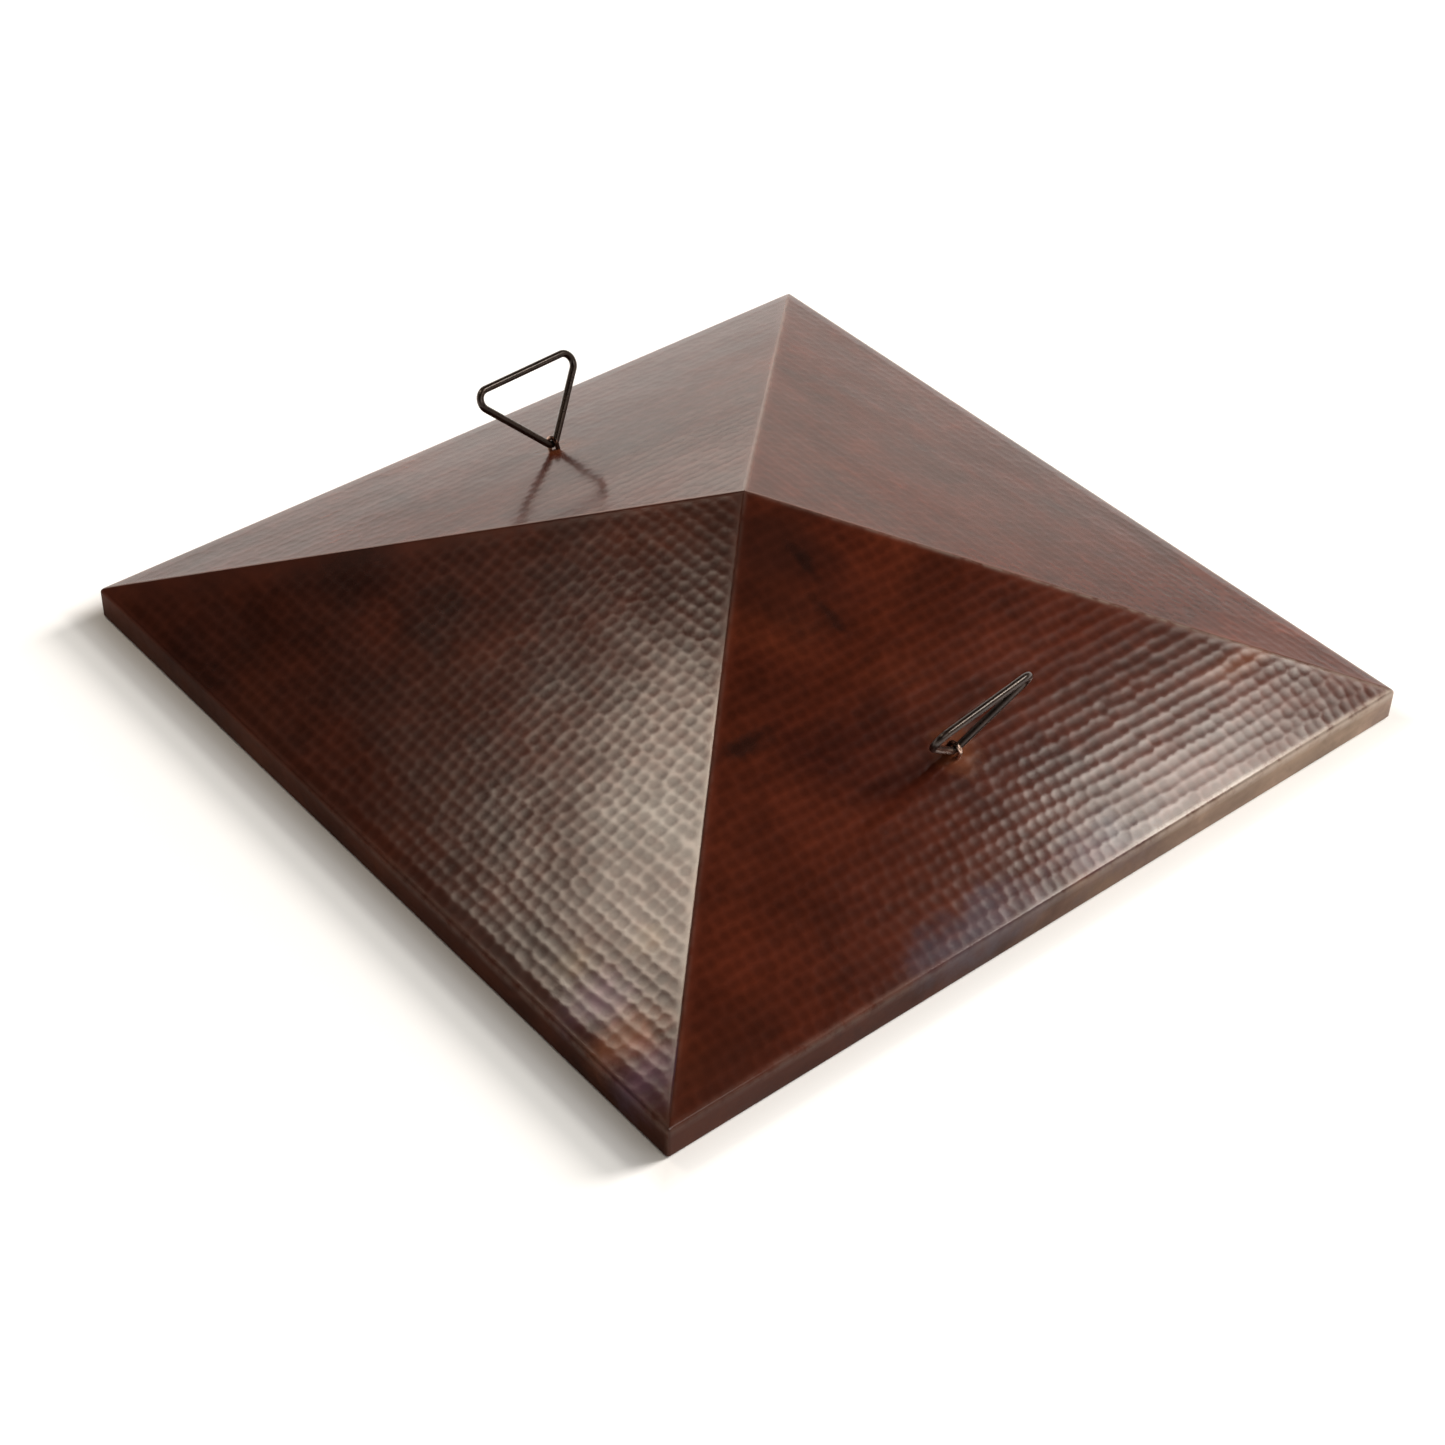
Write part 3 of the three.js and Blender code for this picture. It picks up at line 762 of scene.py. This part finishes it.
# What sets each face apart:
# shade multiplies the patina's colour as painted light and shade: the back and right lighter, the left
# darker.
# skirt and skirt_far do so again on the skirt, as painted light, paler towards the far end of the front.
# run says which axis the face runs along (0 or 1) and where its near and far ends are.
# wear is how much the edges are rubbed and painted with a highlight, at the near and the far end.
# skirt_gloss is the coat's weight on the skirt. It rises to 1 while the normal's height crosses fold.
# far_gloss is the coat's weight at the far end, uneven in its dull patches, dull_hollows in the dents.
# dents is how deep the dents are, and drift how far each row starts past the last, in dents.
# smooth_hip widens the smooth strip at one hip low on the face. along is the stretch of the streaks.
# marks are (middle, radius, stretch, amount, colour, metallic).
TONES = {
    "front": {
        "shade": (0.93, 0.95, 0.93),
        "skirt": (0.7, 0.9, 1.0),
        "skirt_far": (4.0, 15.0, 27.0),
        "run": (0, -0.16, 0.37),
        "wear_and_highlight": (0.1, 0.75),
        "skirt_gloss": 0.22,
        "fold": (0.35, 0.75),
        "far_gloss": 1.0,
        "uneven": 0.6,
        "dull_hollows": 0.72,
        "coat_roughness": 0.16,
        "dents": 1.0,
        "drift": 0.17,
        "smooth_hip": 0.0,
        "along": ROWS_ALONG_X,
        "marks": [
            ((-0.02, -0.055, 0.158), 0.045, (1.0, 0.8, 0.8), 0.6, BURNT, 0.2),
            ((-0.34, -0.365, 0.035), 0.045, (0.7, 1.2, 1.2), 0.5, DULL_BROWN, 0.2),
            # Painted reflection: an orange glow on the sheet round the front staple's seat.
            (seat_place("front", -0.004, 0.004), 0.016, ROUND, 0.35, COPPER, 0.4),
            ((0.002, -0.070, 0.152), 0.012, (2.2, 0.7, 0.7), 0.7, SOOT, 0.2),
            ((-0.010, -0.116, 0.134), 0.012, (2.2, 0.7, 0.7), 0.6, SOOT, 0.2),
            ((-0.1435, -0.1755, 0.110), 0.013, (0.6, 1.6, 1.6), 0.7, SOOT, 0.2),
            ((0.29, -0.300, 0.057), 0.020, (0.4, 2.2, 2.2), 0.25, COPPER, 0.4),
            ((-0.085, -0.372, 0.032), 0.024, (0.45, 1.2, 1.2), 0.35, SLATE, 0.5),
            ((0.05, -0.366, 0.034), 0.022, (0.5, 1.2, 1.2), 0.3, SLATE, 0.5),
        ],
    },
    "back": {
        "shade": (1.3, 1.15, 1.0),
        "skirt": (1.0, 1.4, 1.6),
        "skirt_far": (1.0, 1.4, 1.6),
        "run": (0, 0.10, -0.36),
        "wear_and_highlight": (0.3, 0.3),
        "skirt_gloss": 0.2,
        "fold": (0.35, 0.75),
        "far_gloss": 0.9,
        "uneven": 0.9,
        "dull_hollows": 0.95,
        "coat_roughness": 0.13,
        "dents": 0.42,
        "drift": 0.17,
        "smooth_hip": 0.0,
        "along": ROWS_ALONG_X,
        # Painted reflection: an orange glow on the sheet round the back staple's seat, as on the front.
        "marks": [(seat_place("back"), 0.018, ROUND, 0.3, COPPER, 0.4)],
    },
    "left": {
        "shade": (0.75, 0.82, 0.82),
        "skirt": (0.8, 1.0, 1.05),
        "skirt_far": (0.95, 1.3, 1.45),
        "run": (1, -0.36, 0.36),
        "wear_and_highlight": (0.12, 0.0),
        "skirt_gloss": 0.05,
        "fold": (0.65, 0.90),
        "far_gloss": 1.0,
        "uneven": 0.6,
        "dull_hollows": 0.62,
        "coat_roughness": 0.18,
        "dents": 1.0,
        "drift": -0.17,
        "smooth_hip": 26 * MM,
        "along": ROWS_ALONG_Y,
        "marks": [
            ((-0.355, -0.305, 0.039), 0.022, ROUND, 0.5, COPPER, 0.6),
            ((-0.350, -0.262, 0.041), 0.022, ROUND, 0.7, PLUM, 0.7),
            ((-0.342, -0.225, 0.045), 0.012, ROUND, 0.25, GOLD, 0.7),
            ((-0.295, -0.255, 0.062), 0.012, ROUND, 0.25, GOLD, 0.7),
            ((-0.362, -0.335, 0.036), 0.022, ROUND, 0.7, PLUM, 0.7),
        ],
    },
    "right": {
        "shade": (1.15, 0.95, 0.85),
        "skirt": (1.0, 1.4, 1.6),
        "skirt_far": (1.0, 1.4, 1.6),
        "run": (1, 0.05, -0.36),
        "wear_and_highlight": (0.3, 0.3),
        "skirt_gloss": 0.2,
        "fold": (0.35, 0.75),
        "far_gloss": 0.68,
        "uneven": 0.9,
        "dull_hollows": 0.95,
        "coat_roughness": 0.13,
        "dents": 0.5,
        "drift": 0.17,
        "smooth_hip": 0.0,
        "along": ROWS_ALONG_Y,
        "marks": [((0.325, -0.300, 0.050), 0.020, (0.8, 0.8, 1.0), 0.8, RED_BROWN, 0.3)],
    },
}


def build_cover():
    for face, quarter in FACES.items():
        material = copper_patina("patina_" + face, (quarter * 1.7, quarter * 0.9, 0.3), TONES[face])
        gore = make_gore(face + "_gore_hammered", quarter, material, TONES[face])
        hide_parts(face + "_gore")
        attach(gore, "cover")


def build_handles():
    black, brown = (0.018, 0.011, 0.009), (0.05, 0.03, 0.022)
    rod = plain_metal("dark_rod", black, brown, 40, 0.3, metallic=0.8, coat=0.6)
    pink, pale = (0.50, 0.30, 0.22), (0.80, 0.60, 0.50)
    bright = plain_metal("bright_copper", pink, pale, 120, 0.25, dull=(0.06, 0.028, 0.02))
    for face in ("front", "back"):
        ring = make_ring(face, rod)
        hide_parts(face + "_ring")
        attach(ring, face + "_ring")
        staple = make_staple(face, bright)
        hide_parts(face + "_staple")
        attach(staple, "cover")


def finish_carried_nodes():
    """Materials and eased edges for the CAD's own parts that stay in sight."""
    inner = plain_metal("inner_copper", (0.16, 0.07, 0.045), (0.36, 0.18, 0.11), 14, 0.4)
    bronze = plain_metal("bronze", (0.22, 0.14, 0.06), (0.46, 0.32, 0.15), 160, 0.32)
    for name, node in frame["nodes"].items():
        if node.hide_render:
            continue
        hardware = "nut" in name or "washer" in name
        node.data.materials.clear()
        node.data.materials.append(bronze if hardware else inner)
        bevel = node.modifiers.new("eased_edges", "BEVEL")
        bevel.width = (0.12 if hardware else 0.25) * MM
        bevel.segments = 2
        bevel.limit_method = "ANGLE"
        bevel.angle_limit = math.radians(40)


# ---- Camera, light and floor ----

CAMERA_TARGET = Vector((-0.0087, 0.0075, -0.0631))
CAMERA_DISTANCE = 2.398
CAMERA_AZIMUTH = -130.77
CAMERA_ELEVATION = 40.69
CAMERA_ROLL = 1.82
CAMERA_LENS = 70.41
CEILING = 2.4
KEY_AZIMUTH = -12
KEY_ELEVATION = 24
KEY_STRENGTH = 4.6
KEY_ANGLE = math.radians(22)
WALL_RADIANCE = 1.6
FLOOR_SIZE = 15.0  # from its middle to each side
FLOOR_GLOW = 0.28
GLOW_FULL = 1.4  # out to here, from the object's middle
GLOW_GONE = 2.6
PAINTED_SHADOW_WIDTH = 0.04  # over which the glow rises beside the object, which paints a contact shadow there


def towards(azimuth, elevation):
    """A unit step in a direction given in degrees, the azimuth from +X towards +Y."""
    turn, lift = math.radians(azimuth), math.radians(elevation)
    return Vector((math.cos(turn) * math.cos(lift), math.sin(turn) * math.cos(lift), math.sin(lift)))


def aim(thing, place, target, roll=0.0):
    """Puts a camera or light at a place and points it at a target."""
    back = (place - target).normalized()
    turn = back.to_track_quat("Z", "Y").to_matrix() @ Matrix.Rotation(roll, 3, "Z")
    thing.matrix_world = Matrix.Translation(place) @ turn.to_4x4()


def add_camera():
    data = bpy.data.cameras.new("camera")
    data.lens = CAMERA_LENS
    camera = bpy.data.objects.new("camera", data)
    bpy.context.scene.collection.objects.link(camera)
    back = towards(CAMERA_AZIMUTH, CAMERA_ELEVATION)
    aim(camera, CAMERA_TARGET + back * CAMERA_DISTANCE, CAMERA_TARGET, math.radians(CAMERA_ROLL))
    bpy.context.scene.camera = camera


def add_floor():
    """A white floor that glows a little round the object, but not under it or far away: painted light and
    contact shadow.
    """
    material, s, surface = new_material("pale_floor")
    surface["Base Color"].default_value = (0.91, 0.905, 0.90, 1)
    surface["Roughness"].default_value = 0.7
    surface["Specular IOR Level"].default_value = 0.2
    surface["Emission Color"].default_value = (0.98, 0.99, 1, 1)
    far = s.map_range(s.length(s.place), GLOW_FULL, GLOW_GONE, FLOOR_GLOW, 0.0)
    place = s.split(s.place)
    square = s.math("MAXIMUM", s.math("ABSOLUTE", place["X"]), s.math("ABSOLUTE", place["Y"]))
    # Painted contact shadow: no glow at the object's edge, rising to full over the margin beside it.
    near = s.map_range(square, HALF, HALF + PAINTED_SHADOW_WIDTH, 0.0, 1.0)
    s.link(s.product(far, near), surface["Emission Strength"])
    corners = [(x * FLOOR_SIZE, y * FLOOR_SIZE, 0) for x, y in ((-1, -1), (1, -1), (1, 1), (-1, 1))]
    floor = new_object("floor", corners, [(0, 1, 2, 3)], material)


def add_surroundings():
    """A studio: pale walls, brightest at the back, and a dark ceiling."""
    world = bpy.data.worlds.new("studio")
    world.use_nodes = True
    s = Shader(world.node_tree, "Generated")
    direction = s.split(s.place)
    walls = s.ramp(direction["Z"], [(0.0, 1.0), (0.22, 1.0), (0.45, 0.04), (1.0, 0.04)])
    side = s.ramp(direction["Y"], [(0.40, 0.37), (0.60, 0.50), (0.84, 1.0), (0.93, 0.58)])
    background = s.tree.nodes["Background"]
    background.inputs["Color"].default_value = (1.0, 0.90, 0.80, 1)
    s.link(s.product(walls, side, WALL_RADIANCE), background.inputs["Strength"])
    bpy.context.scene.world = world


def add_ceiling_light(name, x_range, y_range, radiance, tint):
    """A rectangle of even light in the ceiling."""
    width, depth = x_range[1] - x_range[0], y_range[1] - y_range[0]
    data = bpy.data.lights.new(name, "AREA")
    data.shape = "RECTANGLE"
    data.size = width
    data.size_y = depth
    data.color = tint
    data.energy = radiance * math.pi * width * depth
    light = bpy.data.objects.new(name, data)
    bpy.context.scene.collection.objects.link(light)
    place = Vector((sum(x_range) / 2, sum(y_range) / 2, CEILING))
    aim(light, place, place - Vector((0, 0, 1)))


def add_key_light():
    """A wide low light from the right, which softens the shadows and isn't mirrored in the metal."""
    data = bpy.data.lights.new("key_light", "SUN")
    data.energy = KEY_STRENGTH
    data.angle = KEY_ANGLE
    data.color = (1.0, 0.955, 0.91)
    light = bpy.data.objects.new("key_light", data)
    light.visible_glossy = False
    bpy.context.scene.collection.objects.link(light)
    aim(light, towards(KEY_AZIMUTH, KEY_ELEVATION) * 3, Vector((0, 0, 0)))


def add_lights():
    add_key_light()
    add_ceiling_light("back_light", (-0.88, -0.29), (1.12, 1.57), 16.4, (1.0, 0.88, 0.72))
    add_ceiling_light("right_light", (1.66, 2.31), (-1.8, -0.65), 15.8, (1.0, 0.96, 0.86))
    add_ceiling_light("front_fill", (-1.2, 1.2), (-3.4, -1.8), 2.2, (1.0, 0.97, 0.92))


add_camera()
add_floor()
add_surroundings()
add_lights()
build_cover()
build_handles()
finish_carried_nodes()
bpy.context.scene.view_settings.view_transform = "Standard"
